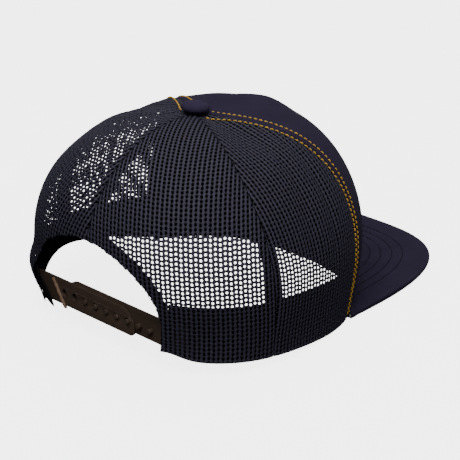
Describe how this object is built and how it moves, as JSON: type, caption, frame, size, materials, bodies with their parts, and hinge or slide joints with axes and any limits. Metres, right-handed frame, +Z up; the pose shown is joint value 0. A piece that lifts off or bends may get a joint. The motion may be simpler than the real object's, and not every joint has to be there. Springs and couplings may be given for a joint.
{
  "type": "trucker cap",
  "caption": "Mesh-backed cap with a cloth front, flat stitched bill, covered top button and an adjustable snap strap across an arched rear opening.",
  "frame": {"origin": "on the surface the cap rests on, under the centre of the head opening", "axes": "+Z up, -Y towards the bill, -X towards the wearer's right, so X is the left-right symmetry axis"},
  "size_m": [0.1786, 0.2494, 0.1252],
  "materials": {
    "navy_cloth": "matt cotton twill",
    "buckram": "stiff open weave",
    "net": "warp-knitted polyester net",
    "black_tape": "matt woven tape",
    "black_twill": "matt cotton twill",
    "foam": "thin open foam",
    "rivet_metal": "satin",
    "board_plastic": "smooth",
    "navy_thread": "spun thread",
    "gold_thread": "glossy embroidery thread",
    "strap_plastic": "satin moulded"
  },
  "bodies": {
    "cap": {"front_panel": "navy_cloth", "front_buckram": "buckram", "side_mesh_right": "net", "side_mesh_left": "net", "back_mesh_right": "net", "back_mesh_left": "net", "seam_tape_back": "black_tape", "seam_tape_side_right": "black_tape", "seam_tape_side_left": "black_tape", "seam_tape_front_right": "black_tape", "seam_tape_front_left": "black_tape", "arch_binding": "black_tape", "sweatband": "black_twill", "sweatband_foam": "foam", "top_button": "navy_cloth", "button_rivet": "rivet_metal", "bill_top_cloth": "navy_cloth", "bill_board": "board_plastic", "bill_under_cloth": "navy_cloth", "bill_stitching": "navy_thread", "topstitch_right": "gold_thread", "topstitch_left": "gold_thread", "strap_tab_left": "strap_plastic", "strap_tab_right": "strap_plastic"},
    "outer_strap": {"strap_with_holes": "strap_plastic"},
    "inner_strap": {"strap_with_pegs": "strap_plastic"}
  },
  "joints": [
    {"name": "outer_strap_bend", "type": "hinge", "parent": "cap", "child": "outer_strap", "pos_m": [0.045, 0.07043, 0.0215], "axis": [0, 0.0925, -0.9957], "range_deg": [0, 60], "stiffness_Nm_per_rad": 0.004},
    {"name": "inner_strap_bend", "type": "hinge", "parent": "cap", "child": "inner_strap", "pos_m": [-0.045, 0.06874, 0.02135], "axis": [0, 0.0925, -0.9957], "range_deg": [0, 35], "stiffness_Nm_per_rad": 0.004}
  ]
}
